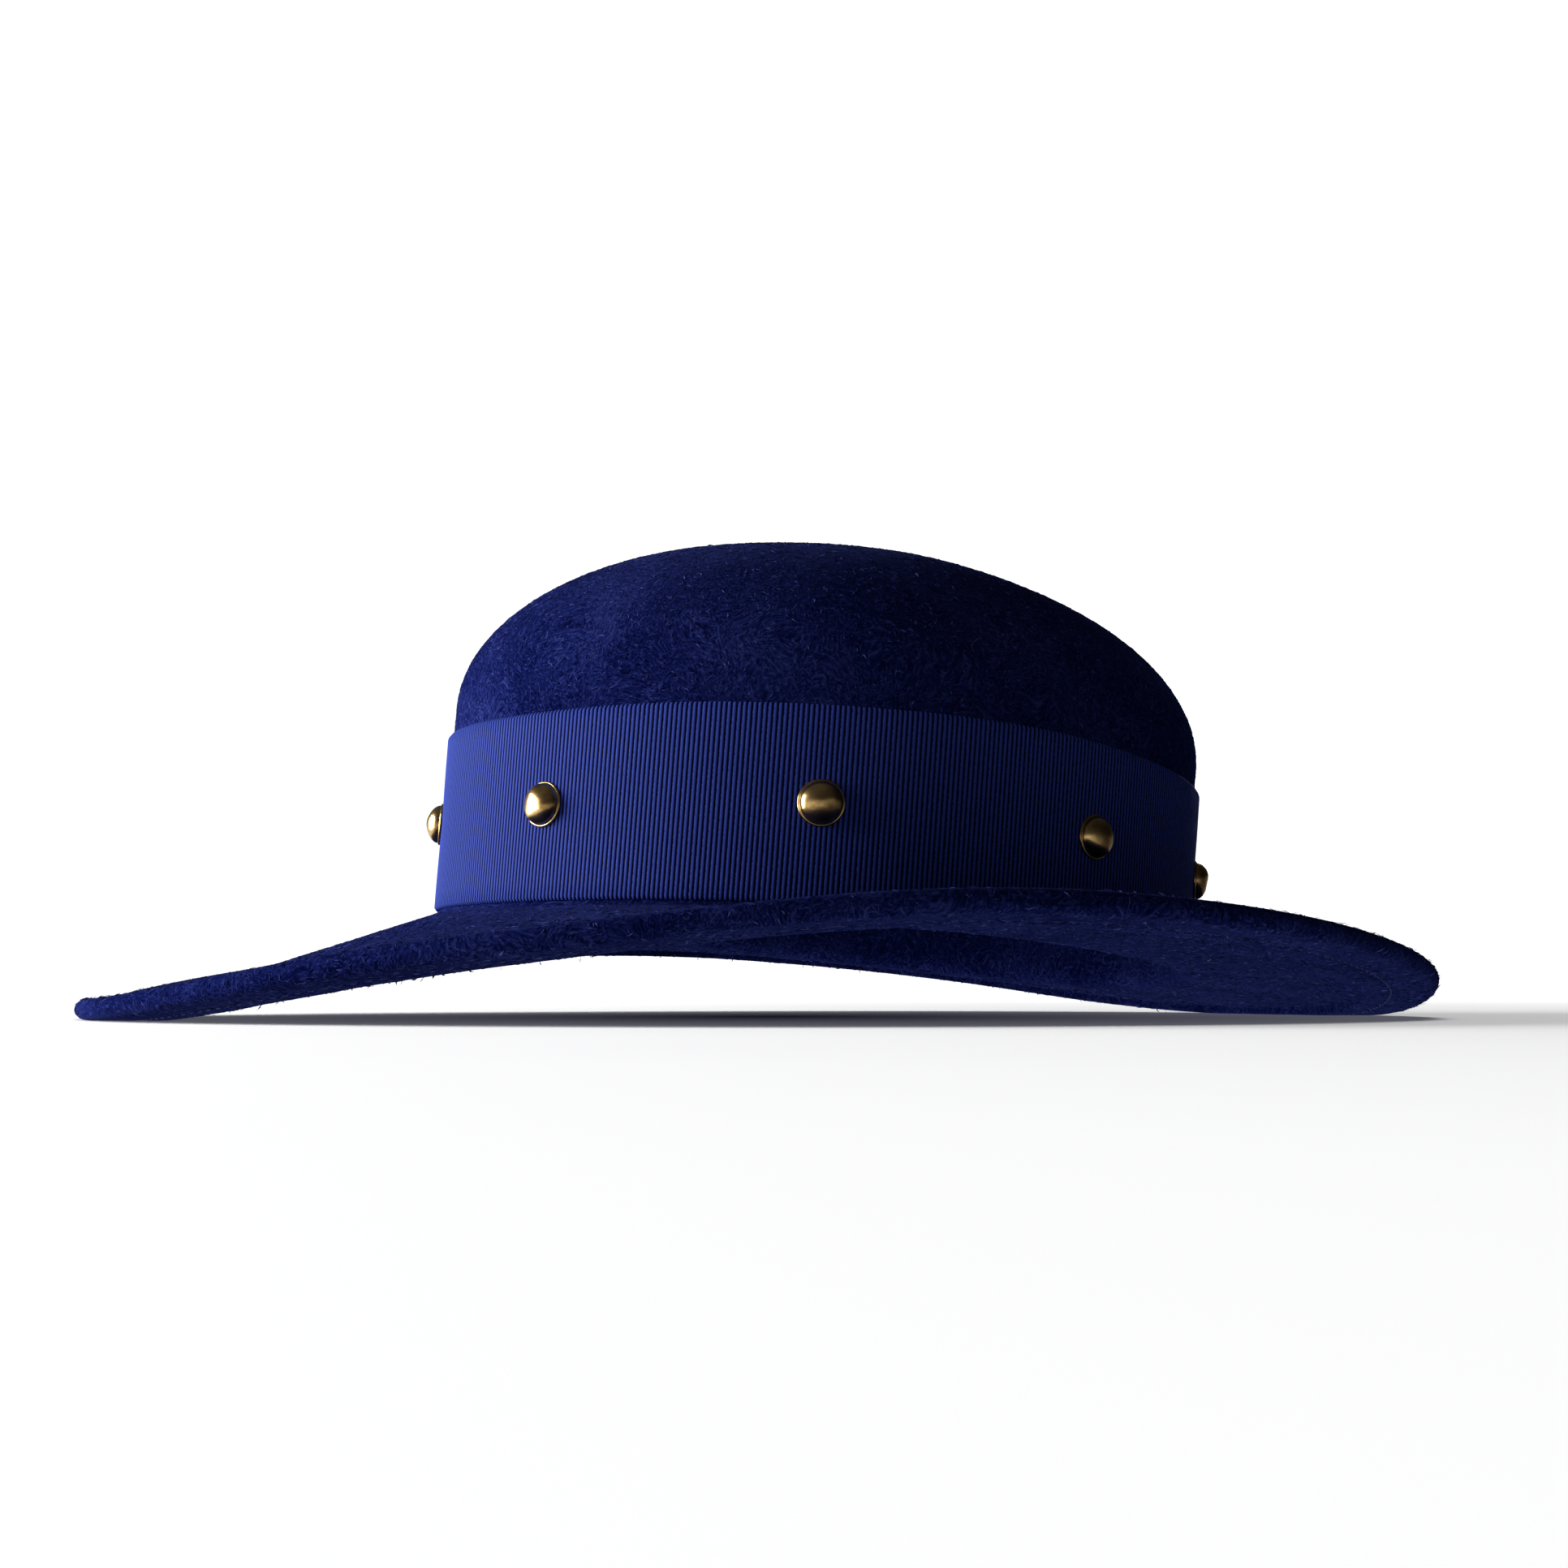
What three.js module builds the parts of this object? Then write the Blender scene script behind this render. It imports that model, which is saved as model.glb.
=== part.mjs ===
// Wide-brim felt hat: a round crown, a saddle-shaped brim with its edge turned under,
// and a ribbon with domed studs.
// Millimetres, +Z up. The front is -Y, and angles run from the front round by the wearer's left side (+X).
import * as THREE from 'three';
import { LoftGeometry } from 'three/addons/geometries/LoftGeometry.js';

// Facets and clearances
const AROUND = 72;
const GAP = 0.3;

// Felt, and the crown in its own frame, whose origin is the middle of the crown's foot
const FELT = 2.4;
const CROWN_HALF_WIDTH = 87.7;
const CROWN_HALF_LENGTH = 100;
const WALL_HEIGHT = 53;
const WALL_FLARE = 0.9;
const DOME_HEIGHT = 51;
const DOME_STEPS = 9;
const FOOT_RISE = 2.2;
const JOINT_HEIGHT = 12;

// How the crown sits over the brim when the hat rests on a flat surface
const CROWN_LEAN = THREE.MathUtils.degToRad(4.5);
const FOOT_HEIGHT = 19.8;
const BRIM_FORWARD = 13;

// Ribbon and studs
const RIBBON_WIDTH = 44;
const RIBBON_THICK = 0.9;
const RIBBON_OFF_BRIM = 2;
const STUD_COUNT = 9;
const STUD_FIRST_ANGLE = -9;
const STUD_RADIUS = 5.4;
const STUD_RIM = 0.7;
const STUD_DOME = 3.1;
const STUD_SIDES = 14;
const STUD_DOME_STEPS = 4;

// The turn from the crown's wall into the brim, on the upper face
const BEND_RADIUS = 2.5;

// Upper face of the brim, a row for each ring outwards from the bend: how far it reaches from the middle
// of the crown to the side, front and back, and how high it is there. Felt that meets the surface gives way.
const BRIM_RINGS = [
  { ring: 'middle', side: 118, front: 136, back: 122, zSide: 22.4, zFront: 14.4, zBack: 6.4 },
  { ring: 'hem', side: 142.5, front: 167.5, back: 141.5, zSide: 23.4, zFront: 4, zBack: 4 },
  { ring: 'edge', side: 157.6, front: 182.6, back: 156.6, zSide: 25, zFront: 4, zBack: 4 },
];

// Steps between the brim's control points: collar, two halves of the bend, slope, outer slope and hem
const BRIM_STEPS = [1, 2, 2, 3, 3, 3];
const HEM_STEPS = BRIM_STEPS.at(-1);
const NOSE_STEPS = 4;

const navyFelt = new THREE.MeshStandardMaterial({ color: 0x16184f, roughness: 0.95, metalness: 0 });
const blueRibbon = new THREE.MeshStandardMaterial({ color: 0x2a3178, roughness: 0.6, metalness: 0 });
const goldMetal = new THREE.MeshStandardMaterial({ color: 0xd0a45a, roughness: 0.25, metalness: 1 });

// A closed ring of points, one for each facet round the head.
const ringOf = (pointAt) => Array.from({ length: AROUND }, (_, i) => pointAt((i / AROUND) * 2 * Math.PI));

// A wave that is +1 at the two sides and -1 at the front and back.
const saddle = (angle) => -Math.cos(2 * angle);

// Height of the brim's upper face where the crown stands on it, in the crown's frame.
const foot = (angle) => FOOT_RISE * saddle(angle);

// The crown's frame leans back over the brim.
const crownGroup = new THREE.Group();
crownGroup.position.set(0, 0, FOOT_HEIGHT);
crownGroup.rotation.x = -CROWN_LEAN;
crownGroup.updateMatrix();

// A point at a height on the crown's oval wall, moved out from the felt's outer face by `out`.
function wallPoint(angle, out, z) {
  const flared = out + (WALL_FLARE * z) / WALL_HEIGHT;
  const x = (CROWN_HALF_WIDTH + flared) * Math.sin(angle);
  const y = -(CROWN_HALF_LENGTH + flared) * Math.cos(angle);
  return new THREE.Vector3(x, y, z);
}

// Rings of one face of the crown from foot to tip; `depth` is how far the face lies inside the outer one.
function crownFace(depth) {
  const lowest = (angle) => foot(angle) + JOINT_HEIGHT + GAP;
  const wall = [0, 0.5].map((share) => ringOf((angle) => {
    return wallPoint(angle, -depth, THREE.MathUtils.lerp(lowest(angle), WALL_HEIGHT, share));
  }));
  const dome = Array.from({ length: DOME_STEPS + 1 }, (_, i) => {
    const turn = (i / DOME_STEPS) * (Math.PI / 2);
    const rise = (DOME_HEIGHT - depth) * Math.sin(turn);
    return ringOf((angle) => {
      const rim = wallPoint(angle, -depth, WALL_HEIGHT);
      return new THREE.Vector3(rim.x * Math.cos(turn), rim.y * Math.cos(turn), WALL_HEIGHT + rise);
    });
  });
  return [...wall, ...dome];
}

// The crown: down its inner face from the tip to the foot, then up its outer face.
function makeCrown() {
  const rings = [...crownFace(FELT).reverse(), ...crownFace(0)];
  return new THREE.Mesh(new LoftGeometry(rings), navyFelt);
}

// A point of one brim ring: an oval set forward of the crown, at three heights joined by a smooth wave.
function brimRingPoint(row, angle) {
  const ends = (row.zFront + row.zBack) / 2;
  const level = (ends + row.zSide) / 2;
  const tilt = (row.zFront - row.zBack) / 2;
  const rise = (row.zSide - ends) / 2;
  const y = (row.back - row.front) / 2 - ((row.front + row.back) / 2) * Math.cos(angle);
  const z = level + tilt * Math.cos(angle) + rise * saddle(angle);
  return new THREE.Vector3(row.side * Math.sin(angle), y, z);
}

// The brim's upper face along one angle: down the collar behind the ribbon, round the bend, out to the edge.
function brimCurve(angle) {
  const onWall = (out, up) => wallPoint(angle, out, foot(angle) + up).applyMatrix4(crownGroup.matrix);
  const halfway = BEND_RADIUS * (1 - Math.SQRT1_2);
  const points = [
    onWall(0, JOINT_HEIGHT),
    onWall(0, BEND_RADIUS),
    onWall(halfway, halfway),
    onWall(BEND_RADIUS, 0),
    ...BRIM_RINGS.map((row) => brimRingPoint(row, angle)),
  ];
  return new THREE.CatmullRomCurve3(points, false, 'centripetal');
}

// The place on the upper face, its outward direction and its normal. Where the hem would go below z = 0,
// the felt is pushed up, so it lies flat there.
function brimSpot(angle, along) {
  const step = Math.PI / AROUND;
  const curve = brimCurve(angle);
  const point = curve.getPoint(along);
  const outward = curve.getTangent(along);
  const around = brimCurve(angle + step).getPoint(along).sub(brimCurve(angle - step).getPoint(along));
  const normal = outward.clone().cross(around).normalize();
  const lowest = point.z - 2 * FELT * normal.z;
  point.z += Math.max(0, -lowest);
  return { point, outward, normal };
}

// A ring at a share of the way along the brim's curve, `depth` below the upper face.
const brimRing = (along, depth) => ringOf((angle) => {
  const { point, normal } = brimSpot(angle, along);
  return point.addScaledVector(normal, -depth);
});

// A ring on the round edge, where the felt folds under: turn 0 is the hem's underside, pi the upper face.
const noseRing = (turn) => ringOf((angle) => {
  const { point, outward, normal } = brimSpot(angle, 1);
  point.addScaledVector(normal, -FELT * (1 + Math.cos(turn)));
  return point.addScaledVector(outward, FELT * Math.sin(turn));
});

// The brim: out along the underside to the hem's raw edge, out under the hem, round the edge, back on top.
function makeBrim() {
  const spans = BRIM_STEPS.length;
  const alongs = BRIM_STEPS.flatMap((steps, span) => {
    return Array.from({ length: steps }, (_, i) => (span + i / steps) / spans);
  });
  alongs.push(1);
  const hemStart = alongs.length - 1 - HEM_STEPS;
  const under = alongs.slice(0, hemStart + 1).map((along) => brimRing(along, FELT));
  const hem = alongs.slice(hemStart).map((along) => brimRing(along, 2 * FELT));
  const nose = Array.from({ length: NOSE_STEPS - 1 }, (_, i) => noseRing(((i + 1) / NOSE_STEPS) * Math.PI));
  const upper = alongs.map((along) => brimRing(along, 0)).reverse();
  const rings = [...under, ...hem, ...nose, ...upper];
  return new THREE.Mesh(new LoftGeometry([...rings, rings[0]]), navyFelt);
}

const ribbonBottom = (angle) => foot(angle) + RIBBON_OFF_BRIM;

// The ribbon: a closed band of constant width that follows the foot of the crown.
function makeRibbon() {
  const face = (out, up) => ringOf((angle) => wallPoint(angle, out, ribbonBottom(angle) + up));
  const inner = GAP;
  const outer = GAP + RIBBON_THICK;
  const rings = [face(inner, 0), face(outer, 0), face(outer, RIBBON_WIDTH), face(inner, RIBBON_WIDTH)];
  return new THREE.Mesh(new LoftGeometry([...rings, rings[0]]), blueRibbon);
}

// A stud: a flat back, a thin upright rim and a dome, turned about +Y, then pointed away from the ribbon.
function makeStud(angle) {
  const arc = new THREE.EllipseCurve(0, STUD_RIM, STUD_RADIUS, STUD_DOME, 0, Math.PI / 2);
  const back = [new THREE.Vector2(0, 0), new THREE.Vector2(STUD_RADIUS, 0)];
  const profile = [...back, ...arc.getPoints(STUD_DOME_STEPS)];
  profile.at(-1).x = 0;
  const stud = new THREE.Mesh(new THREE.LatheGeometry(profile, STUD_SIDES), goldMetal);
  const middle = ribbonBottom(angle) + RIBBON_WIDTH / 2;
  stud.position.copy(wallPoint(angle, RIBBON_THICK + 2 * GAP, middle));
  const away = new THREE.Vector3(Math.sin(angle) / CROWN_HALF_WIDTH, -Math.cos(angle) / CROWN_HALF_LENGTH, 0);
  stud.quaternion.setFromUnitVectors(new THREE.Vector3(0, 1, 0), away.normalize());
  return stud;
}

const named = (mesh, name) => Object.assign(mesh, { name });

crownGroup.add(named(makeCrown(), 'crown'), named(makeRibbon(), 'ribbon'));
for (let i = 0; i < STUD_COUNT; i += 1) {
  const angle = THREE.MathUtils.degToRad(STUD_FIRST_ANGLE + (i * 360) / STUD_COUNT);
  crownGroup.add(named(makeStud(angle), `stud_${i + 1}`));
}

const hat = new THREE.Group();
hat.position.y = BRIM_FORWARD;
hat.add(crownGroup, named(makeBrim(), 'brim'));

export default hat;
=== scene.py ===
# %% [markdown]
# # A wide-brim felt hat
# The hat is navy wool felt: a low round crown, a wide brim whose edge is turned under and sewn, a ribbed
# ribbon round the crown, and gold studs on the ribbon. The fixed frame holds the plain solids, and this
# lesson dresses them. Each piece is a surface worked out with numpy, as a function of the angle round the
# head and of the way along a profile, so one formula gives its shape, its thickness and its small faults.

# %% Load the fixed frame
import math
from collections import namedtuple

import bmesh
import bpy
import numpy as np
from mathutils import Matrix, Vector


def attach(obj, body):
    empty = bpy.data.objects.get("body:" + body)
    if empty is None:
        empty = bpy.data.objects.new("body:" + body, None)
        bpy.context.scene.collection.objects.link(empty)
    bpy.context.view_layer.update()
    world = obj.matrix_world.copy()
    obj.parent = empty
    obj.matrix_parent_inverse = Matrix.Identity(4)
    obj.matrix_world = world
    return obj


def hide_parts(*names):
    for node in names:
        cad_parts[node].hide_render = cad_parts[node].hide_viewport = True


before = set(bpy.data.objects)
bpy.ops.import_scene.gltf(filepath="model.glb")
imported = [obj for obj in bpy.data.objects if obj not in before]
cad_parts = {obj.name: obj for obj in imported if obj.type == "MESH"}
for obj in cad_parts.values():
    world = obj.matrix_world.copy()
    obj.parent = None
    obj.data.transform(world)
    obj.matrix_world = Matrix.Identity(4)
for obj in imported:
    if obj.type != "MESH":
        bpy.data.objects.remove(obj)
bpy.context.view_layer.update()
print("solids:", ", ".join(sorted(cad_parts)))

# %% [markdown]
# ## Camera
# The hat is seen from its left side, turned a little towards the front, and from below its brim. Lying on
# a floor it can't be seen from under that floor, so the camera stands just above it and looks up a little.
# A camera can be turned by three angles, but aiming it at a point with a quaternion is easier to read: the
# direction is the formula.

# %% Place the camera
VIEW_ANGLE = math.radians(70)
CAMERA_DISTANCE = 0.5
CAMERA_HEIGHT = 0.006
LENS = 43
NEAREST_SEEN = 0.01
AIM = Vector((0, 0.004, 0.062))

towards_camera = Vector((math.sin(VIEW_ANGLE), -math.cos(VIEW_ANGLE), 0))
to_the_right = Vector((math.cos(VIEW_ANGLE), math.sin(VIEW_ANGLE), 0))
camera = bpy.data.objects.new("camera", bpy.data.cameras.new("camera"))
camera.data.lens = LENS
camera.data.clip_start = NEAREST_SEEN
camera.location = AIM + towards_camera * CAMERA_DISTANCE
camera.location.z = CAMERA_HEIGHT
camera.rotation_mode = "QUATERNION"
camera.rotation_quaternion = (AIM - camera.location).to_track_quat("-Z", "Y")
bpy.context.scene.collection.objects.link(camera)
bpy.context.scene.camera = camera
print("camera at", [round(value, 3) for value in camera.location])

# %% [markdown]
# ## Surfaces from grids
# Every round piece here is a grid of points: rows run along a profile, and columns run once round the
# head and close into rings. A modifier could spin a profile too, but a grid is one numpy array, so waves,
# grooves and ribs are sums of arrays. Where a row shrinks to a point, its vertices are merged into a pole.

# %% A mesh from a ring grid
POLE_DISTANCE = 1e-7
BAKE_MAP = "OFBake"


def ring_faces(rows, columns, close_rows):
    """Row and column numbers of each quad's four corners, not yet wrapped round."""
    last = rows if close_rows else rows - 1
    row, column = np.meshgrid(np.arange(last), np.arange(columns), indexing="ij")
    corner_row = np.stack([row, row, row + 1, row + 1], -1).reshape(-1, 4)
    corner_column = np.stack([column, column + 1, column + 1, column], -1).reshape(-1, 4)
    return corner_row, corner_column


def set_map(mesh, name, places):
    """Adds a map: one place for each corner of each face, in the order of the faces."""
    mesh.uv_layers.new(name=name).data.foreach_set("uv", places.ravel())


def merge_poles(mesh):
    """Joins the vertices that lie on one point, so that a shrunk ring becomes a pole."""
    work = bmesh.new()
    work.from_mesh(mesh)
    bmesh.ops.remove_doubles(work, verts=work.verts, dist=POLE_DISTANCE)
    work.to_mesh(mesh)
    work.free()


def ring_mesh(name, points, close_rows=False):
    """Quads between neighbours of a (rows, columns, 3) grid, with a map of columns across and rows up."""
    rows, columns = points.shape[:2]
    corner_row, corner_column = ring_faces(rows, columns, close_rows)
    mesh = bpy.data.meshes.new(name)
    quads = (corner_row % rows) * columns + corner_column % columns
    mesh.from_pydata(points.reshape(-1, 3), [], quads)
    set_map(mesh, BAKE_MAP, np.stack([corner_column / columns, corner_row / rows], -1))
    merge_poles(mesh)
    mesh.shade_smooth()
    print(f"{name}: {len(mesh.vertices)} vertices, {len(mesh.polygons)} faces")
    return mesh


def angles_round(columns):
    """Angles of the columns, from the front of the hat round by the wearer's left side."""
    return np.arange(columns) * (2 * np.pi / columns)


# %% Put a mesh into the scene
def add_object(mesh, finish):
    """An object with one finish, named as its mesh."""
    mesh.materials.append(finish)
    thing = bpy.data.objects.new(mesh.name, mesh)
    bpy.context.scene.collection.objects.link(thing)
    return thing


def add_piece(mesh, finish, stands_for=None):
    """A piece of the hat: it rides on the hat's one body, and may stand for one of the frame's solids."""
    piece = add_object(mesh, finish)
    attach(piece, "root")
    if stands_for:
        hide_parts(stands_for)
    return piece


# %% [markdown]
# ## Finishes from nodes
# A finish could be painted on a picture, but a node tree works at every scale and needs no file. These
# few helpers keep each finish below to the lines that say what it looks like.

# %% Helpers for finishes
def new_finish(name, roughness, specular):
    """A new material with its two plain numbers set: the material, its node tree and its shader."""
    finish = bpy.data.materials.new(name)
    finish.use_nodes = True
    shader = finish.node_tree.nodes["Principled BSDF"]
    shader.inputs["Roughness"].default_value = roughness
    shader.inputs["Specular IOR Level"].default_value = specular
    return finish, finish.node_tree, shader


def shader_node(tree, kind, sockets=None, **settings):
    """A new node: settings are its own, and a socket gets a number, a colour or another node's output."""
    node = tree.nodes.new(kind)
    for name, value in settings.items():
        setattr(node, name, value)
    for socket, value in (sockets or {}).items():
        if isinstance(value, bpy.types.NodeSocket):
            tree.links.new(value, node.inputs[socket])
        else:
            node.inputs[socket].default_value = value
    return node


def object_place(tree):
    """Places in the hat's own frame, in metres."""
    return shader_node(tree, "ShaderNodeTexCoord").outputs["Object"]


def maths(tree, operation, *values):
    """One operation on numbers."""
    return shader_node(tree, "ShaderNodeMath", dict(enumerate(values)), operation=operation).outputs[0]


def vector_maths(tree, operation, *values):
    """One operation on places."""
    node = shader_node(tree, "ShaderNodeVectorMath", dict(enumerate(values)), operation=operation)
    return node.outputs[0]


def noise(tree, place, scale, detail, output="Fac"):
    """A random cloud about 0.5, with `scale` swells to the unit and `detail` finer layers."""
    sockets = {"Vector": place, "Scale": scale, "Detail": detail}
    return shader_node(tree, "ShaderNodeTexNoise", sockets).outputs[output]


def colour_by(tree, socket, value, *stops):
    """Colours a socket: the colour runs through (value, colour) stops as the value grows."""
    node = shader_node(tree, "ShaderNodeValToRGB", {"Fac": value})
    elements = node.color_ramp.elements
    elements[0].position, elements[1].position = stops[0][0], stops[-1][0]
    elements[0].color, elements[1].color = stops[0][1], stops[-1][1]
    for position, colour in stops[1:-1]:
        elements.new(position).color = colour
    tree.links.new(node.outputs["Color"], socket)


def raise_by(tree, shader, height, strength, distance):
    """Tilts the shader's normal as if the surface rose by the height times the distance."""
    sockets = {"Height": height, "Strength": strength, "Distance": distance}
    bump = shader_node(tree, "ShaderNodeBump", sockets)
    tree.links.new(bump.outputs["Normal"], shader.inputs["Normal"])


# %% [markdown]
# ## Floor and backdrop
# A photographer's sweep is a floor that curves up into a wall, so no edge shows behind the hat. A plane
# with a bent end would do for one camera. This one is turned about the hat, so every view has it behind,
# and away from the hat it glows by itself, so that it is as pale in one view as in another.

# %% Make the sweep
PAPER_GREY = (0.72, 0.72, 0.73, 1)
PAPER_WHITE = (0.76, 0.76, 0.76, 1)
PAPER_CLOUDS = 6
PAPER_GLOW = 1.1
GLOW_REACH = 1.5
FLOOR_RADIUS = 1.0
SWEEP_RADIUS = 2.0
WALL_TOP = 3.0
SWEEP_STEPS = 24
SWEEP_COLUMNS = 96


def paper_finish():
    """Matt pale paper, a little uneven in tone, with a glow that grows with the distance from the hat."""
    finish, tree, shader = new_finish("pale paper", roughness=0.9, specular=0.1)
    place = object_place(tree)
    tone = noise(tree, place, PAPER_CLOUDS, detail=2)
    colour_by(tree, shader.inputs["Base Color"], tone, (0, PAPER_GREY), (1, PAPER_WHITE))
    distance = shader_node(tree, "ShaderNodeVectorMath", {0: place}, operation="LENGTH").outputs["Value"]
    ramp = {"Value": distance, "From Max": GLOW_REACH, "To Max": PAPER_GLOW}
    glow = shader_node(tree, "ShaderNodeMapRange", ramp)
    tree.links.new(glow.outputs["Result"], shader.inputs["Emission Strength"])
    shader.inputs["Emission Color"].default_value = PAPER_WHITE
    finish.cycles.emission_sampling = "NONE"
    return finish


def sweep_rows():
    """The sweep's profile turned about the hat: flat, then a quarter circle, then straight up."""
    turn = np.linspace(0, np.pi / 2, SWEEP_STEPS)
    bend = FLOOR_RADIUS + SWEEP_RADIUS * np.sin(turn)
    radius = np.r_[0, FLOOR_RADIUS / 2, bend, bend[-1]][:, None]
    height = np.r_[0, 0, SWEEP_RADIUS * (1 - np.cos(turn)), WALL_TOP][:, None]
    angle = angles_round(SWEEP_COLUMNS)
    return np.stack(np.broadcast_arrays(radius * np.cos(angle), radius * np.sin(angle), height), -1)


sweep = add_object(ring_mesh("sweep", sweep_rows()), paper_finish())

# %% [markdown]
# ## Light
# A low window stands to the left of the camera, so near that its light falls off across the hat: the front
# of the crown and of the ribbon are bright, and the back goes dark. White paper all round would fill those
# shadows, so the paper is hidden from bounced light and from the studs' reflections, and a glow from below,
# stronger on the window's side, stands for what the floor throws back under the brim. Blender can link a
# lamp to a collection: the lamp overhead lights only the paper, and a weak one behind the hat leaves the
# paper out, so that the far side can be seen without a second shadow.

# %% Place the lamps
# A lamp's place in metres from the hat: to the camera's right, towards the camera, and up.
WINDOW_PLACE = (-1.2, 0.06, 0.2)
WINDOW_POWER = 48
WINDOW_SIZE = 0.8
BACK_LAMP_PLACE = (0.2, -1.1, 0.3)
BACK_LAMP_POWER = 13
PAPER_LAMP_PLACE = (0, 0, 2.4)
PAPER_LAMP_POWER = 34
PAPER_LAMP_SIZE = 1.6


def add_light(name, place, power, size):
    """A square area light, aimed at the hat: its place is the sum of the three directions' shares."""
    right, nearer, up = place
    light = bpy.data.objects.new(name, bpy.data.lights.new(name, "AREA"))
    light.data.energy = power
    light.data.size = size
    light.location = right * to_the_right + nearer * towards_camera + up * Vector((0, 0, 1))
    light.rotation_mode = "QUATERNION"
    light.rotation_quaternion = (Vector() - light.location).to_track_quat("-Z", "Y")
    bpy.context.scene.collection.objects.link(light)
    return light


add_light("window", WINDOW_PLACE, WINDOW_POWER, WINDOW_SIZE)
back_lamp = add_light("back lamp", BACK_LAMP_PLACE, BACK_LAMP_POWER, WINDOW_SIZE)
paper_lamp = add_light("paper lamp", PAPER_LAMP_PLACE, PAPER_LAMP_POWER, PAPER_LAMP_SIZE)
print("lamps:", WINDOW_POWER, "W window,", BACK_LAMP_POWER, "W behind,", PAPER_LAMP_POWER, "W overhead")


# %% Keep the paper's light apart
def link_light(light, state):
    """Lets a lamp light the paper alone (INCLUDE) or everything but the paper (EXCLUDE)."""
    receivers = bpy.data.collections.new(f"{light.name} on paper")
    receivers.objects.link(sweep)
    receivers.collection_objects[0].light_linking.link_state = state
    light.light_linking.receiver_collection = receivers


link_light(paper_lamp, "INCLUDE")
link_light(back_lamp, "EXCLUDE")
sweep.visible_diffuse = False
sweep.visible_glossy = False

# %% Make the glow from above and below
SKY_GLOW = (0.06, 0.06, 0.063, 1)
FLOOR_GLOW = (0.7, 0.7, 0.7, 1)
HORIZON = 0.15
WINDOW_SIDE = 1.8
FAR_SIDE = 0.1


def surroundings():
    """A world whose glow changes from the floor's to the sky's as the direction rises past level.

    Its strength falls evenly with the share of the direction that points away from the window.
    """
    world = bpy.data.worlds.new("surroundings")
    world.use_nodes = True
    tree = world.node_tree
    background = tree.nodes["Background"]
    direction = shader_node(tree, "ShaderNodeTexCoord").outputs["Generated"]
    rise = shader_node(tree, "ShaderNodeSeparateXYZ", {"Vector": direction}).outputs["Z"]
    colour_by(tree, background.inputs["Color"], rise, (0, FLOOR_GLOW), (HORIZON, SKY_GLOW))
    sides = {0: direction, 1: to_the_right}
    away = shader_node(tree, "ShaderNodeVectorMath", sides, operation="DOT_PRODUCT").outputs["Value"]
    ramp = {"Value": away, "From Min": -1, "To Min": WINDOW_SIDE, "To Max": FAR_SIDE}
    strength = shader_node(tree, "ShaderNodeMapRange", ramp).outputs["Result"]
    tree.links.new(strength, background.inputs["Strength"])
    return world


bpy.context.scene.world = surroundings()
bpy.context.scene.view_settings.view_transform = "Standard"
print("glow: sky", SKY_GLOW[0], "floor", FLOOR_GLOW[0])

# %% [markdown]
# ## Wool felt
# Felt has no threads: wool is matted into a sheet, so short strands lie over each other every way. One
# noise would look like cloud. Three noises, each drawn out along one axis, look like strands, and pushing
# the places about by a slow noise first makes the strands swirl. The tone picks the colour, and sheen
# stands for the fibre ends that catch light at a slant.

# %% The felt's finish
NAVY_DEEP = (0.0010, 0.0018, 0.020, 1)
NAVY = (0.0042, 0.0075, 0.060, 1)
NAVY_LIT = (0.0190, 0.0260, 0.125, 1)
FELT_TONES = ((0.46, NAVY_DEEP), (0.57, NAVY), (0.69, NAVY_LIT))
FELT_SHEEN = (0.16, 0.22, 0.75, 1)
CLOUD_SCALE = 45
CLOUD_SHARE = 0.2
SWIRL_SCALE = 60
SWIRL_REACH = 0.02
STRAND_LONG = 320
STRAND_THIN = 1600


def strands(tree, place):
    """Matted strands: three noises, each drawn out along one axis, and the highest of them at a place."""
    highest = 0.0
    for axis in range(3):
        stretch = [STRAND_THIN] * 3
        stretch[axis] = STRAND_LONG
        drawn_out = vector_maths(tree, "MULTIPLY", place, stretch)
        highest = maths(tree, "MAXIMUM", noise(tree, drawn_out, scale=1, detail=2), highest)
    return highest


def felt_finish():
    """Strands and a little cloud: their weighted sum picks the colour, and the strands rise as bump."""
    finish, tree, shader = new_finish("navy wool felt", roughness=0.95, specular=0)
    place = object_place(tree)
    push = noise(tree, place, SWIRL_SCALE, detail=1, output="Color")
    matted = strands(tree, vector_maths(tree, "MULTIPLY_ADD", push, [SWIRL_REACH] * 3, place))
    cloud = maths(tree, "MULTIPLY", noise(tree, place, CLOUD_SCALE, detail=5), CLOUD_SHARE)
    tone = maths(tree, "MULTIPLY_ADD", matted, 1 - CLOUD_SHARE, cloud)
    colour_by(tree, shader.inputs["Base Color"], tone, *FELT_TONES)
    raise_by(tree, shader, matted, strength=0.4, distance=0.0004)
    shader.inputs["Sheen Weight"].default_value = 0.05
    shader.inputs["Sheen Roughness"].default_value = 0.4
    shader.inputs["Sheen Tint"].default_value = FELT_SHEEN
    return finish


felt = felt_finish()
print("felt finish:", len(felt.node_tree.nodes), "nodes")

# %% [markdown]
# ## Crown
# The crown is felt pulled over a wooden block: an oval wall that leans out a little, and a dome on top.
# A sculpted ball would need much pushing. The real block is close to an ellipse, so the wall is an oval
# that grows with height, and the dome a quarter ellipse from wall to tip. The felt's inner face is the
# same formula taken one thickness further in. A hand-blocked crown isn't perfect, so soft waves of a
# fraction of a millimetre run over it.

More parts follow.
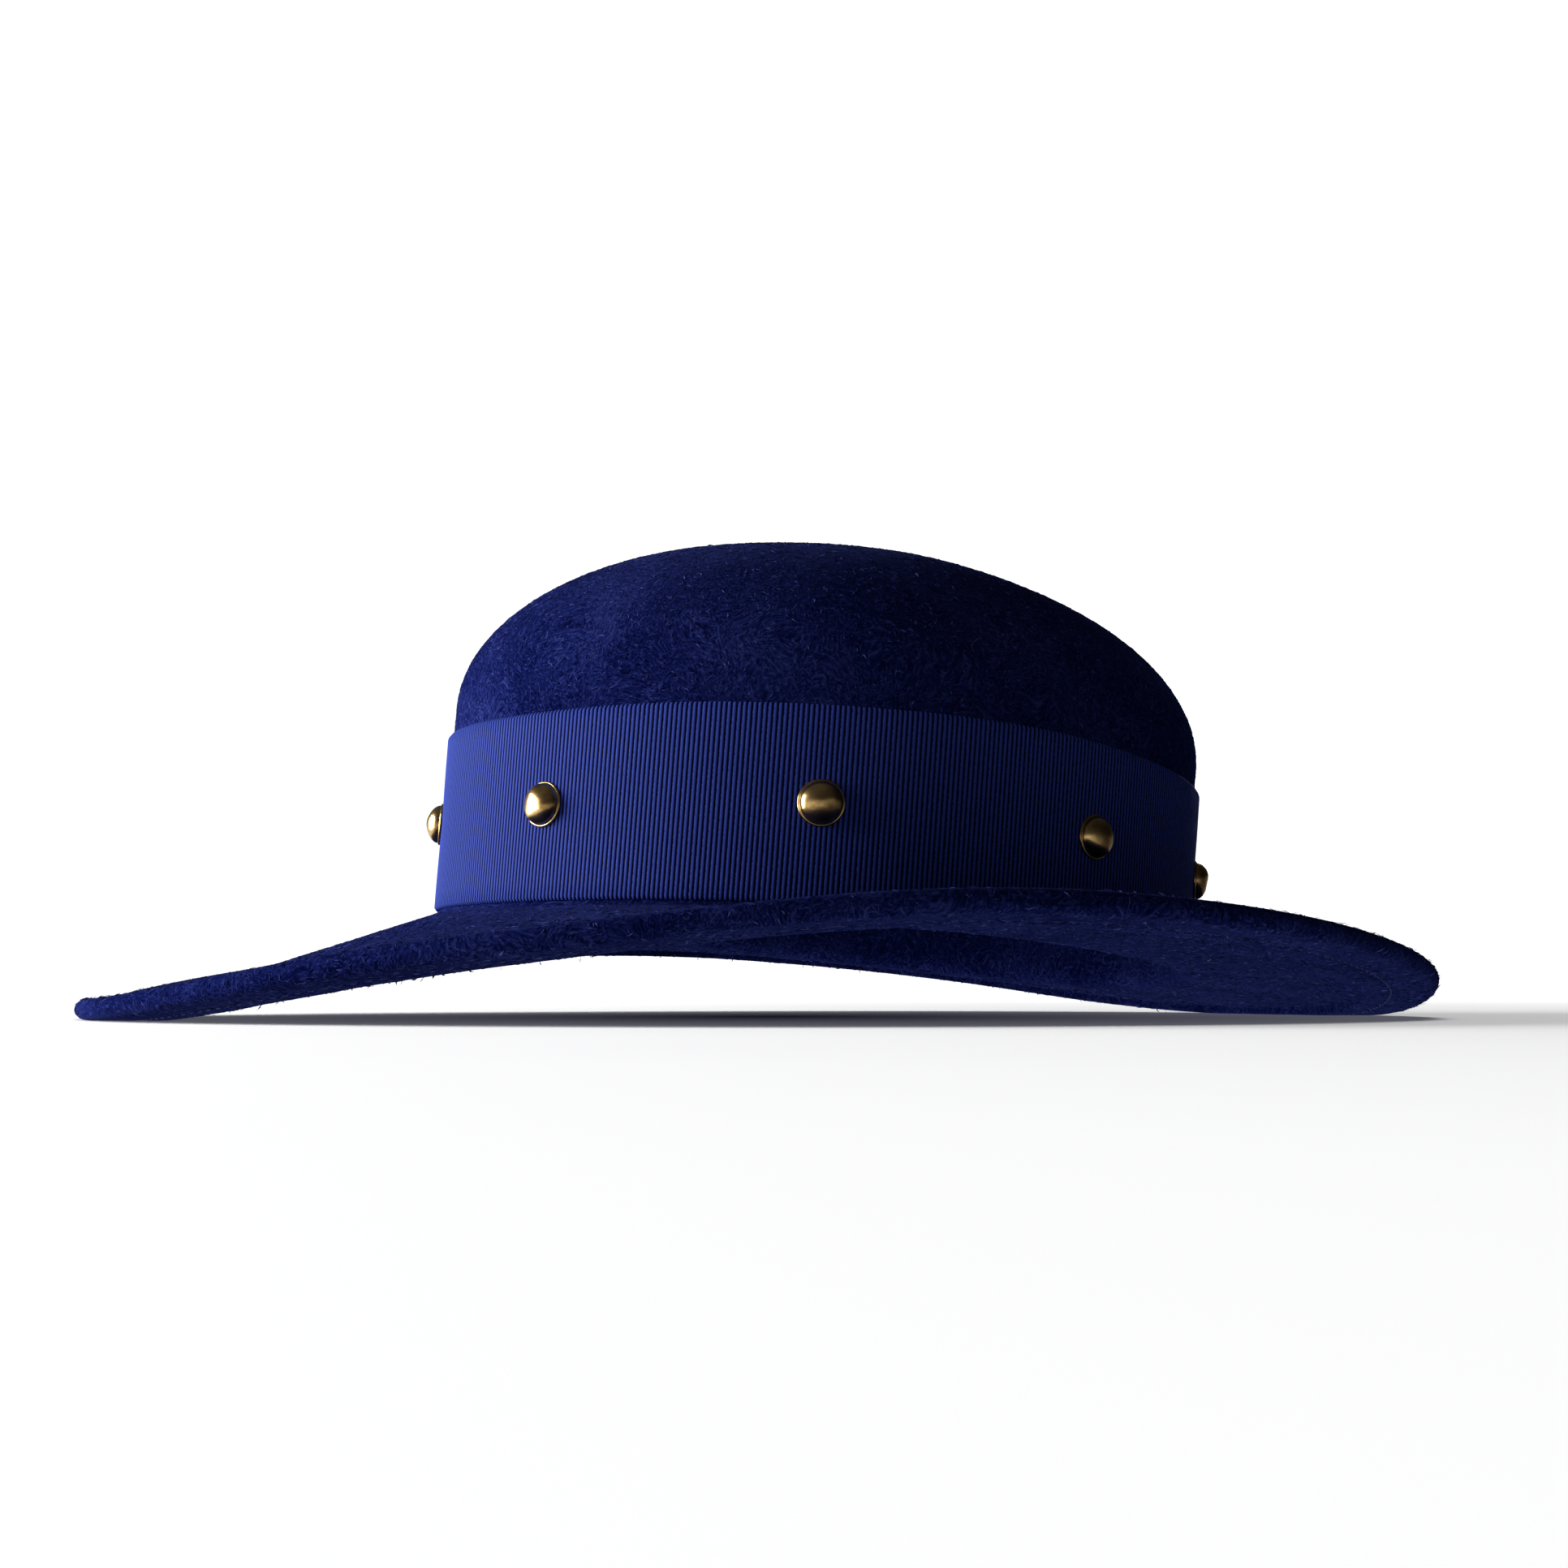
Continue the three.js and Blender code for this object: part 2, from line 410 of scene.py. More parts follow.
# %% Sizes of the crown
FELT = 0.0024
CROWN_HALF_WIDTH = 0.0877
CROWN_HALF_LENGTH = 0.1
WALL_HEIGHT = 0.053
WALL_FLARE = 0.0009
DOME_HEIGHT = 0.051
FOOT_RISE = 0.0022
JOINT_HEIGHT = 0.012
GAP = 0.0003
CROWN_LEAN = math.radians(4.5)
FOOT_HEIGHT = 0.0198
BRIM_FORWARD = 0.013


def saddle(angle):
    """A wave that is +1 at the two sides and -1 at the front and back."""
    return -np.cos(2 * angle)


def foot(angle):
    """Height of the brim's upper face where the crown stands on it, in the crown's frame."""
    return FOOT_RISE * saddle(angle)


def wall_point(angle, out, height):
    """The oval wall at a height, `out` metres outside the felt's outer face; it flares with the height."""
    flared = out + WALL_FLARE * height / WALL_HEIGHT
    x = (CROWN_HALF_WIDTH + flared) * np.sin(angle)
    y = -(CROWN_HALF_LENGTH + flared) * np.cos(angle)
    return np.stack(np.broadcast_arrays(x, y, height), -1)


def lean(points):
    """From the crown's frame to the hat's: turned about X by the lean, lifted to the foot and set back."""
    x, y, z = np.moveaxis(points, -1, 0)
    cosine, sine = math.cos(CROWN_LEAN), math.sin(CROWN_LEAN)
    return np.stack([x, cosine * y + sine * z + BRIM_FORWARD, cosine * z - sine * y + FOOT_HEIGHT], -1)


def unit(vectors):
    """Vectors shortened or stretched to length one."""
    return vectors / np.linalg.norm(vectors, axis=-1, keepdims=True)


print("crown:", 2 * CROWN_HALF_WIDTH, "wide,", 2 * CROWN_HALF_LENGTH, "long")

# %% Make the crown
CROWN_COLUMNS = 288
WALL_ROWS = 14
DOME_ROWS = 34
BLOCKING_WAVE = 0.00022
WAVE_COUNT = 7
WAVE_TURNS = (2, 8)
WAVE_CLIMB = 60
SEED = 7
dice = np.random.default_rng(SEED)


def soft_waves(angle, height):
    """Slow random waves round the head and up the wall: a sum of sines, between about -1 and 1."""
    turns = dice.integers(*WAVE_TURNS, WAVE_COUNT)
    climbs = dice.uniform(-WAVE_CLIMB, WAVE_CLIMB, WAVE_COUNT)
    starts = dice.uniform(0, 2 * np.pi, WAVE_COUNT)
    waves = np.sin(angle[..., None] * turns + height[..., None] * climbs + starts)
    return waves.sum(-1) / math.sqrt(WAVE_COUNT)


def crown_face(depth):
    """Rows from foot to tip, `depth` inside the outer face: wall rows, then dome rows.

    A dome row at turn t is the wall's rim drawn in by cos t and raised by sin t of the dome's height.
    """
    angle = angles_round(CROWN_COLUMNS)
    share = np.linspace(0, 1, WALL_ROWS)[:-1, None]
    lowest = foot(angle) + JOINT_HEIGHT + GAP
    wall = wall_point(angle, -depth, lowest + (WALL_HEIGHT - lowest) * share)
    turn = np.linspace(0, np.pi / 2, DOME_ROWS)[:, None]
    rim = wall_point(angle, -depth, WALL_HEIGHT)
    flat = rim[None, :, :2] * np.cos(turn)[..., None]
    height = np.broadcast_to(WALL_HEIGHT + (DOME_HEIGHT - depth) * np.sin(turn), flat.shape[:2])
    return np.concatenate([wall, np.concatenate([flat, height[..., None]], -1)])


def blocked(points):
    """Moves points in or out along the direction from the crown's heart by soft waves, none at the tip."""
    angle = np.arctan2(points[..., 0], -points[..., 1])
    swing = BLOCKING_WAVE * soft_waves(angle, points[..., 2])
    fade = np.clip(np.hypot(points[..., 0], points[..., 1]) / (CROWN_HALF_WIDTH / 2), 0, 1)
    heart = np.array([0, 0, WALL_HEIGHT / 2])
    return points + unit(points - heart) * (swing * fade)[..., None]


crown_outside = blocked(crown_face(0))
crown_rows = np.concatenate([crown_face(FELT)[::-1], crown_outside])
crown_felt = add_piece(ring_mesh("crown_felt", lean(crown_rows)), felt, stands_for="crown")

# %% [markdown]
# ## Brim
# The brim is one sheet of felt: a short collar up behind the ribbon, a bend, a wide slope, and an outer
# edge that is folded under and sewn, so the edge is two felts thick and round. Its sides stand higher
# than its front and back, like a saddle. Each direction from the head has one curve through a few knots,
# the last three of them on the rings below. The felt's other faces are that curve moved along its normal,
# so the fold keeps an even thickness all the way round.

# %% Sizes of the brim
BEND_RADIUS = 0.0025
BrimRing = namedtuple("BrimRing", "side front back z_side z_front z_back")
MIDDLE_RING = BrimRing(side=0.118, front=0.136, back=0.122, z_side=0.0224, z_front=0.0144, z_back=0.0064)
HEM_RING = BrimRing(side=0.1425, front=0.1675, back=0.1415, z_side=0.0234, z_front=0.004, z_back=0.004)
EDGE_RING = BrimRing(side=0.1576, front=0.1826, back=0.1566, z_side=0.025, z_front=0.004, z_back=0.004)
BEND_KNOT, HEM_KNOT, EDGE_KNOT = 3, 5, 6


def ring_point(ring, angle):
    """An oval set forward of the crown, at three heights joined by one wave for the tilt and one saddle."""
    ends = (ring.z_front + ring.z_back) / 2
    level = (ends + ring.z_side) / 2
    tilt = (ring.z_front - ring.z_back) / 2
    rise = (ring.z_side - ends) / 2
    x = ring.side * np.sin(angle)
    y = (ring.back - ring.front) / 2 - (ring.front + ring.back) / 2 * np.cos(angle)
    return np.stack([x, y + BRIM_FORWARD, level + tilt * np.cos(angle) + rise * saddle(angle)], -1)


def brim_knots(angle):
    """The curve's knots for each angle: two on the collar, two round the bend, and one on each ring."""
    halfway = BEND_RADIUS * (1 - math.sqrt(0.5))
    steps = ((0, JOINT_HEIGHT), (0, BEND_RADIUS), (halfway, halfway), (BEND_RADIUS, 0))
    wall = [lean(wall_point(angle, out, foot(angle) + up)) for out, up in steps]
    return np.stack(wall + [ring_point(ring, angle) for ring in (MIDDLE_RING, HEM_RING, EDGE_RING)])


print("knots of the brim's curve:", len(brim_knots(angles_round(4))))

# %% The brim's curve and its normal
SMALL_STEP = 1e-3
SOFT_PUSH = 0.0002
SWELL = 0.0004
SWELL_COUNT = 5
SWELL_TURNS = (3, 11)
swell_turns = dice.integers(*SWELL_TURNS, SWELL_COUNT)
swell_starts = dice.uniform(0, 2 * np.pi, SWELL_COUNT)


def smooth_curve(knots, places):
    """A centripetal Catmull-Rom curve through (knots, columns, 3), read at places counted in knots.

    Between two knots it is the cubic that has the knots as ends and their slopes as end slopes. The slope
    at a knot is the chord before it, plus the chord after it, less the chord across both, with the square
    root of each chord's length as its duration.
    """
    ends = np.concatenate([2 * knots[:1] - knots[1:2], knots, 2 * knots[-1:] - knots[-2:-1]])
    lasts = np.sqrt(np.linalg.norm(np.diff(ends, axis=0), axis=-1, keepdims=True))
    chords = np.diff(ends, axis=0) / lasts
    across = (ends[2:] - ends[:-2]) / (lasts[1:] + lasts[:-1])
    slopes = chords[:-1] + chords[1:] - across
    columns = np.arange(knots.shape[1])
    first = np.clip(places.astype(int), 0, len(knots) - 2)
    share = (places - first)[..., None]
    start, end = knots[first, columns], knots[first + 1, columns]
    leave = slopes[first, columns] * lasts[first + 1, columns]
    arrive = slopes[first + 1, columns] * lasts[first + 1, columns]
    square = 3 * (end - start) - 2 * leave - arrive
    cube = 2 * (start - end) + leave + arrive
    return start + share * (leave + share * (square + share * cube))


def swell(places, angle):
    """How far the felt is out of true: slow waves round the head that grow from the bend to the edge."""
    waves = np.sin(angle[..., None] * swell_turns + swell_starts).sum(-1) / math.sqrt(SWELL_COUNT)
    return SWELL * waves * np.clip((places - BEND_KNOT) / (EDGE_KNOT - BEND_KNOT), 0, 1) ** 2


def brim_sheet(places, angle):
    """Upper face, outward direction and normal at (rows, columns) places of the brim's curves.

    Where the folded hem would sink below the floor the felt gives way: it is raised by a softened
    maximum of nothing and the depth that it would sink.
    """
    knots = brim_knots(angle)
    points = smooth_curve(knots, places)
    points[..., 2] += swell(places, angle)
    outward = unit(smooth_curve(knots, places + SMALL_STEP) - smooth_curve(knots, places - SMALL_STEP))
    ahead = smooth_curve(brim_knots(angle + SMALL_STEP), places)
    behind = smooth_curve(brim_knots(angle - SMALL_STEP), places)
    normal = unit(np.cross(outward, ahead - behind))
    sunk = 2 * FELT * normal[..., 2] - points[..., 2]
    points[..., 2] += (sunk + np.sqrt(sunk**2 + SOFT_PUSH**2)) / 2
    return points, outward, normal


# %% Make the brim
BRIM_COLUMNS = 480
SPAN_ROWS = (5, 4, 4, 15, 15, 26)
NOSE_ROWS = 12
STITCH_PLACE = 5.40
GROOVE_DEPTH = 0.00035
GROOVE_WIDTH = 0.055
RAW_EDGE_WAVE = 0.035
CUTTING_COUNT = 9
CUTTING_TURNS = (5, 40)
# The rows beside the cut keep this many waves away from it, inside and outside.
CUT_ROOM = (4, 5)
# The raw edge's section, a row for each ring: how far past the cut, in knots, and how many felts deep.
RAW_EDGE = ((-0.08, 1), (-0.02, 1), (0, 1.02), (0, 1.4), (0, 1.75), (0.006, 1.93), (0.025, 2), (0.08, 2))


def cutting_waves(angle):
    """Uneven cutting of the hem: a sum of sines round the head, between about -1 and 1."""
    turns = dice.integers(*CUTTING_TURNS, CUTTING_COUNT)
    starts = dice.uniform(0, 2 * np.pi, CUTTING_COUNT)
    return np.sin(angle[..., None] * turns + starts).sum(-1) / math.sqrt(CUTTING_COUNT)


def brim_face(places, depth, angle):
    """A face of the brim: the upper face moved `depth` felts down, drawn in along the row of stitches."""
    points, _, normal = brim_sheet(places, angle)
    groove = GROOVE_DEPTH * np.exp(-(((places - STITCH_PLACE) / GROOVE_WIDTH) ** 2))
    return points - normal * (depth * FELT + groove * np.where(depth > 0, -1, 1))[..., None]


def brim_faces(angle):
    """Rows of the brim in order: underside, raw edge, hem, round nose, and the upper face back in."""
    spans = [np.linspace(knot, knot + 1, rows, endpoint=False) for knot, rows in enumerate(SPAN_ROWS)]
    places = np.append(np.concatenate(spans), EDGE_KNOT)[:, None]
    cut = HEM_KNOT + RAW_EDGE_WAVE * cutting_waves(angle)
    past_cut, cut_depth = np.array(RAW_EDGE).T[..., None]
    inner = places[places < HEM_KNOT - CUT_ROOM[0] * RAW_EDGE_WAVE][:, None]
    outer = places[places > HEM_KNOT + CUT_ROOM[1] * RAW_EDGE_WAVE][:, None]
    all_round = np.zeros_like(angle)
    under = brim_face(inner + all_round, 1, angle)
    raw_edge = brim_face(cut + past_cut, cut_depth + all_round, angle)
    hem = brim_face(outer + all_round, 2, angle)
    top = brim_face(places[::-1] + all_round, 0, angle)
    rim, outward, normal = brim_sheet(np.full((1, len(angle)), float(EDGE_KNOT)), angle)
    turn = np.linspace(0, np.pi, NOSE_ROWS)[1:-1, None, None]
    nose = rim - FELT * (normal * (1 + np.cos(turn)) - outward * np.sin(turn))
    return under, raw_edge, hem, nose, top


under, raw_edge, hem, nose, top = brim_faces(angles_round(BRIM_COLUMNS))
brim_rows = np.concatenate([under, raw_edge, hem, nose, top])
add_piece(ring_mesh("brim_felt", brim_rows, close_rows=True), felt, stands_for="brim")

# %% [markdown]
# ## Ribbon
# The ribbon is grosgrain: thick weft cords lie side by side across its width, so it shows upright ribs
# about a millimetre apart, and its edges are a row of tiny loops where the cords turn. Bump alone would
# leave the edge straight, so the ribs are real: each is a rounded crest, the root of a sine, and the
# top and bottom edges rise and fall with it. The studs pull the band in a little where they are fixed.

# %% Sizes of the ribbon and its studs
RIBBON_WIDTH = 0.044
RIBBON_THICK = 0.0009
RIBBON_OFF_BRIM = 0.002
RIB_COUNT = 540
RIB_HEIGHT = 0.00022
RIB_END = 0.00032
COLUMNS_PER_RIB = 6
STUD_COUNT = 9
STUD_FIRST_ANGLE = math.radians(-9)
GIRTH_STEPS = 720

stud_angles = STUD_FIRST_ANGLE + angles_round(STUD_COUNT)


def ribbon_bottom(angle):
    """Height of the ribbon's lower edge in the crown's frame."""
    return foot(angle) + RIBBON_OFF_BRIM


once_round = np.linspace(0, 2 * np.pi, GIRTH_STEPS + 1)
middle_line = wall_point(once_round, GAP, RIBBON_WIDTH / 2)

# %% The ribbon's finish
# Painted light: the valley colour is painted shade between the ribs, and the crest colour a painted
# highlight.
RIBBON_VALLEY_SHADE = (0.0008, 0.0013, 0.016, 1)
RIBBON_BLUE = (0.010, 0.018, 0.125, 1)
RIBBON_CREST_HIGHLIGHT = (0.030, 0.051, 0.270, 1)
RIBBON_SHADE_TONES = ((0.5, RIBBON_VALLEY_SHADE), (0.82, RIBBON_BLUE), (1, RIBBON_CREST_HIGHLIGHT))
RIBBON_SHEEN = (0.16, 0.26, 0.95, 1)
WEAVE_MAP = "weave"
WARP_COUNT = 70
WARP_SHARE = 0.4
RIB_SWAY = 0.25
NOISE_MIDDLE = 0.5


def ribbon_finish():
    """Blue by rib: how high the rib stands at a place of the weave map picks the colour.

    The map counts ribs across and goes from 0 to 1 up the ribbon's width. The rib's height there is the
    sine of half a turn for each rib, which sways a little, and a fine warp crosses it. The valleys are
    painted dark as shade between the ribs, and the crests are painted light as a highlight.
    """
    finish, tree, shader = new_finish("blue grosgrain", roughness=0.55, specular=0.015)
    weave = shader_node(tree, "ShaderNodeUVMap", uv_map=WEAVE_MAP).outputs["UV"]
    across_ribs = shader_node(tree, "ShaderNodeSeparateXYZ", {"Vector": weave}).outputs["X"]
    warp = noise(tree, vector_maths(tree, "MULTIPLY", weave, (1, WARP_COUNT, 0)), scale=1, detail=3)
    aside = maths(tree, "SUBTRACT", warp, NOISE_MIDDLE)
    swayed = maths(tree, "MULTIPLY_ADD", aside, RIB_SWAY, across_ribs)
    half_turns = maths(tree, "MULTIPLY", swayed, math.pi)
    crest = maths(tree, "ABSOLUTE", maths(tree, "SINE", half_turns))
    tone = maths(tree, "MULTIPLY_ADD", warp, WARP_SHARE, crest)
    # The colour by rib height is painted shade in the rib valleys and a painted highlight on the crests.
    colour_by(tree, shader.inputs["Base Color"], tone, *RIBBON_SHADE_TONES)
    raise_by(tree, shader, warp, strength=0.35, distance=0.0001)
    shader.inputs["Sheen Weight"].default_value = 0.06
    shader.inputs["Sheen Tint"].default_value = RIBBON_SHEEN
    return finish


grosgrain = ribbon_finish()
print("ribbon finish:", len(grosgrain.node_tree.nodes), "nodes")

# %% Make the ribbon
FACE_ROWS = 12
FACE_INSET = 0.012
EDGE_FULLNESS = 0.45
NEXT_TO_EDGE = 0.6
EDGE_WANDER = 0.00025
STUD_PULL = 0.00016
PULL_REACH = 0.009


def stud_pull(angle, up):
    """How far the ribbon is drawn in: a bell curve about each stud, by distance along and up the band."""
    away = (angle[..., None] - stud_angles + np.pi) % (2 * np.pi) - np.pi
    along = away * (CROWN_HALF_WIDTH + CROWN_HALF_LENGTH) / 2
    distance = np.hypot(along, (up - RIBBON_WIDTH / 2)[..., None])
    return STUD_PULL * np.exp(-((distance / PULL_REACH) ** 2)).sum(-1)


def ribbon_rows():
    """The band's section carried round: up the ribbed face, over the top edge, down the back, and across.

    Each row has a share of the width, a share of the thickness, and how much of a rib's end it moves by.
    """
    angle = angles_round(RIB_COUNT * COLUMNS_PER_RIB)
    crest = np.sqrt(np.abs(np.sin(angle * RIB_COUNT / 2)))
    wander = EDGE_WANDER * soft_waves(angle, np.zeros_like(angle))
    still = np.zeros(FACE_ROWS - 2)
    width = np.r_[0, np.linspace(FACE_INSET, 1 - FACE_INSET, FACE_ROWS), 1, 1, 0.5, 0][:, None]
    thickness = np.r_[EDGE_FULLNESS, np.ones(FACE_ROWS), EDGE_FULLNESS, 0, 0, 0][:, None]
    end = np.r_[-1, -NEXT_TO_EDGE, still, NEXT_TO_EDGE, 1, 1, 0, -1][:, None]
    up = RIBBON_WIDTH * width + RIB_END * end * crest + wander * width
    out = GAP + thickness * (RIBBON_THICK - RIB_HEIGHT + RIB_HEIGHT * crest)
    pulled = out - stud_pull(np.broadcast_to(angle, up.shape), up)
    return wall_point(angle, pulled, ribbon_bottom(angle) + up), width[:, 0]


ribbon_points, ribbon_width = ribbon_rows()
ribbon_mesh = ring_mesh("ribbon_band", lean(ribbon_points), close_rows=True)
corner_row, corner_column = ring_faces(*ribbon_points.shape[:2], close_rows=True)
corner_width = ribbon_width[corner_row % len(ribbon_width)]
set_map(ribbon_mesh, WEAVE_MAP, np.stack([corner_column / COLUMNS_PER_RIB, corner_width], -1))
ribbon_band = add_piece(ribbon_mesh, grosgrain, stands_for="ribbon")

# %% [markdown]
# ## Studs
# Each stud is pressed from thin gold-coloured metal: a flat flange and a dome that the press has left a
# little uneven. A scaled sphere would look machined. Here a profile is turned about the stud's axis, and
# each stud gets its own shallow dents, so that every one catches the window differently.

# %% The gold finish
GOLD_BRIGHT = (0.62, 0.42, 0.17, 1)
GOLD_DULL = (0.30, 0.175, 0.065, 1)
GOLD_TONES = ((0.38, GOLD_DULL), (0.60, GOLD_BRIGHT))
DULL_ROUGHNESS = 0.36
BRIGHT_ROUGHNESS = 0.12
PATCH_SCALE = 240


def gold_finish():
    """Polished metal that goes duller and browner in soft patches, which also lie a little lower."""
    finish, tree, shader = new_finish("polished gold metal", BRIGHT_ROUGHNESS, specular=0.5)
    patch = noise(tree, object_place(tree), PATCH_SCALE, detail=4)
    colour_by(tree, shader.inputs["Base Color"], patch, *GOLD_TONES)
    ramp = {"Value": patch, "To Min": DULL_ROUGHNESS, "To Max": BRIGHT_ROUGHNESS}
    rough = shader_node(tree, "ShaderNodeMapRange", ramp)
    tree.links.new(rough.outputs["Result"], shader.inputs["Roughness"])
    raise_by(tree, shader, patch, strength=0.25, distance=0.0003)
    shader.inputs["Metallic"].default_value = 1.0
    return finish


gold = gold_finish()
print("gold finish:", len(gold.node_tree.nodes), "nodes")

# %% Make the studs
STUD_RADIUS = 0.0054
STUD_RIM = 0.0007
STUD_DOME = 0.0031
STUD_SINK = 0.0006
DOME_RADIUS = 0.0049
STUD_COLUMNS = 56
STUD_DOME_ROWS = 22
FLANGE_ROWS = 7
DENT_DEPTH = 0.00016
DENT_COUNT = 4
DENT_PITCH = (500, 1100)
UP = np.array([0, 0, 1])


def stud_profile():
    """Radius and height of the stud's outline: flat back, rounded flange edge, a small step, the dome."""
    edge = np.linspace(-np.pi / 2, np.pi / 2, FLANGE_ROWS)
    round_edge = STUD_RIM / 2
    dome = np.linspace(0, np.pi / 2, STUD_DOME_ROWS)
    flange = STUD_RADIUS - round_edge + round_edge * np.cos(edge)
    radius = np.r_[0, STUD_RADIUS / 2, flange, DOME_RADIUS * np.cos(dome)]
    height = np.r_[0, 0, round_edge + round_edge * np.sin(edge), STUD_RIM + STUD_DOME * np.sin(dome)]
    radius[-1] = 0
    return radius, height


def dents(x, y):
    """Shallow hollows and swells of a pressed dome: slow waves across it, random for each stud."""
    bearings = dice.uniform(0, np.pi, DENT_COUNT)
    pitches = dice.uniform(*DENT_PITCH, DENT_COUNT)
    starts = dice.uniform(0, 2 * np.pi, DENT_COUNT)
    across = x[..., None] * np.cos(bearings) + y[..., None] * np.sin(bearings)
    return np.sin(across * pitches + starts).sum(-1) / math.sqrt(DENT_COUNT)


def stud_rows(angle):
    """The profile turned about the stud's axis, dented, and pressed into the ribbon, axis outwards."""
    radius, height = stud_profile()
    turn = angles_round(STUD_COLUMNS)
    x, y = radius[:, None] * np.cos(turn), radius[:, None] * np.sin(turn)
    domed = np.clip((height - STUD_RIM) / STUD_DOME, 0, 1)[:, None]
    z = height[:, None] + DENT_DEPTH * dents(x, y) * np.sqrt(domed)
    axis = unit(np.array([math.sin(angle) / CROWN_HALF_WIDTH, -math.cos(angle) / CROWN_HALF_LENGTH, 0]))
    sideways = np.array([-axis[1], axis[0], 0])
    out = RIBBON_THICK + 2 * GAP - STUD_SINK
    back = wall_point(angle, out, ribbon_bottom(angle) + RIBBON_WIDTH / 2)
    return back + x[..., None] * sideways + y[..., None] * UP + z[..., None] * axis


for number, angle in enumerate(stud_angles, 1):
    stud_mesh = ring_mesh(f"stud_cap_{number}", lean(stud_rows(angle)))
    add_piece(stud_mesh, gold, stands_for=f"stud_{number}")

# %% [markdown]
# ## Stitches
# One row of machine stitches holds the folded hem. Each stitch is a short piece of thread that dips into
# the felt at both ends. A curve with a bevel could carry them, but hundreds of small closed bodies are
# quicker as arrays: one capsule's rings are laid along each stitch at once.

# %% The thread's finish
THREAD_DARK = (0.008, 0.011, 0.066, 1)
THREAD_LIGHT = (0.027, 0.033, 0.135, 1)
THREAD_TONES = ((0.35, THREAD_DARK), (0.65, THREAD_LIGHT))
TWIST_SCALE = 2600


def thread_finish():
    """Navy thread, mottled by a fine noise and a little shinier than the felt."""
    finish, tree, shader = new_finish("navy thread", roughness=0.6, specular=0.12)
    twist = noise(tree, object_place(tree), TWIST_SCALE, detail=2)
    colour_by(tree, shader.inputs["Base Color"], twist, *THREAD_TONES)
    return finish


thread = thread_finish()
print("thread finish:", len(thread.node_tree.nodes), "nodes")

# %% A mesh of many small bodies
CELL_MARGIN = 0.05


def map_cells(count):
    """A square map cut into equal cells: each body's corner of its cell, and the cells along a side."""
    side = math.ceil(math.sqrt(count))
    return np.stack(np.divmod(np.arange(count), side), -1)[:, None, None], side


def many_rings(name, points):
    """One mesh of many small closed bodies: (bodies, rings, sides, 3), with a pole at both ends of each."""
    bodies, rings, sides = points.shape[:3]
    corner_row, corner_column = ring_faces(rings, sides, close_rows=False)
    quads = corner_row * sides + corner_column % sides
    starts = np.arange(bodies)[:, None, None] * (rings * sides)
    mesh = bpy.data.meshes.new(name)
    mesh.from_pydata(points.reshape(-1, 3), [], (quads + starts).reshape(-1, 4))
    patch = np.stack([corner_column / sides, corner_row / rings], -1)
    cells, cells_along = map_cells(bodies)
    set_map(mesh, BAKE_MAP, (cells + CELL_MARGIN + (1 - 2 * CELL_MARGIN) * patch) / cells_along)
    merge_poles(mesh)
    mesh.shade_smooth()
    print(f"{name}: {bodies} bodies, {len(mesh.polygons)} faces")
    return mesh


# %% Make the stitches
STITCH_LENGTH = 0.0031
STITCH_GAP = 0.0005
THREAD_RADIUS = 0.00019
THREAD_SIDES = 6
THREAD_RINGS = 5
ARCH_HEIGHT = 2.2
END_DEPTH = 1.4
TRACE_STEPS = 4096


def stitch_row(depth):
    """Capsules along the row of stitches on one face: sunk at both ends, fattest in the middle."""
    traced = angles_round(TRACE_STEPS)
    path = brim_face(np.full((1, TRACE_STEPS), STITCH_PLACE), depth, traced)[0]
    travelled = np.r_[0, np.linalg.norm(np.diff(path, axis=0, append=path[:1]), axis=-1).cumsum()]
    count = int(travelled[-1] / (STITCH_LENGTH + STITCH_GAP))
    share = np.linspace(0, 1, THREAD_RINGS)
    along = np.arange(count)[:, None] * (travelled[-1] / count) + share * STITCH_LENGTH
    angle = np.interp(along.ravel(), travelled, np.append(traced, 2 * np.pi))
    sheet = brim_sheet(np.full((1, angle.size), STITCH_PLACE), angle)
    points, outward, normal = (part[0].reshape(count, THREAD_RINGS, 1, 3) for part in sheet)
    side = 1 if depth == 0 else -1
    arch = np.sin(np.pi * share)[:, None, None]
    above = THREAD_RADIUS * (ARCH_HEIGHT * arch - END_DEPTH) - GROOVE_DEPTH
    centre = points - normal * (depth * FELT - side * above)
    turn = angles_round(THREAD_SIDES)[:, None] * side
    thick = THREAD_RADIUS * np.sqrt(np.clip(arch, 0, 1))
    return centre + thick * (outward * np.cos(turn) + normal * np.sin(turn))


stitches = np.concatenate([stitch_row(0), stitch_row(2)])
add_piece(many_rings("brim_stitches", stitches), thread)

# %% [markdown]
# ## Fibres
# Wool felt is hairy: fibres a millimetre or two long lie on it, and a few stand off. They soften its
# outline and make its lit edge look frosted. Blender's hair would do it, but a mesh goes with the model
# wherever it is sent. Each fibre is a thin bent body of four triangles: a root, the two sides of its
# bend, and a tip.

# %% The fibres' finish
FIBRE_DEEP = (0.0055, 0.0090, 0.064, 1)
FIBRE_BLUE = (0.0420, 0.0530, 0.200, 1)
FIBRE_PALE = (0.22, 0.24, 0.38, 1)
BLUE_SHADE = 0.94
FIBRE_TONES = ((0, FIBRE_DEEP), (BLUE_SHADE, FIBRE_BLUE), (1, FIBRE_PALE))


def fibre_finish():
    """Colour by fibre: the attribute `shade` runs from deep navy to blue, and lint at its end is pale."""
    finish, tree, shader = new_finish("wool fibre", roughness=0.8, specular=0)
    shade = shader_node(tree, "ShaderNodeAttribute", attribute_name="shade").outputs["Fac"]
    colour_by(tree, shader.inputs["Base Color"], shade, *FIBRE_TONES)
    return finish


wool = fibre_finish()
print("fibre finish:", len(wool.node_tree.nodes), "nodes")

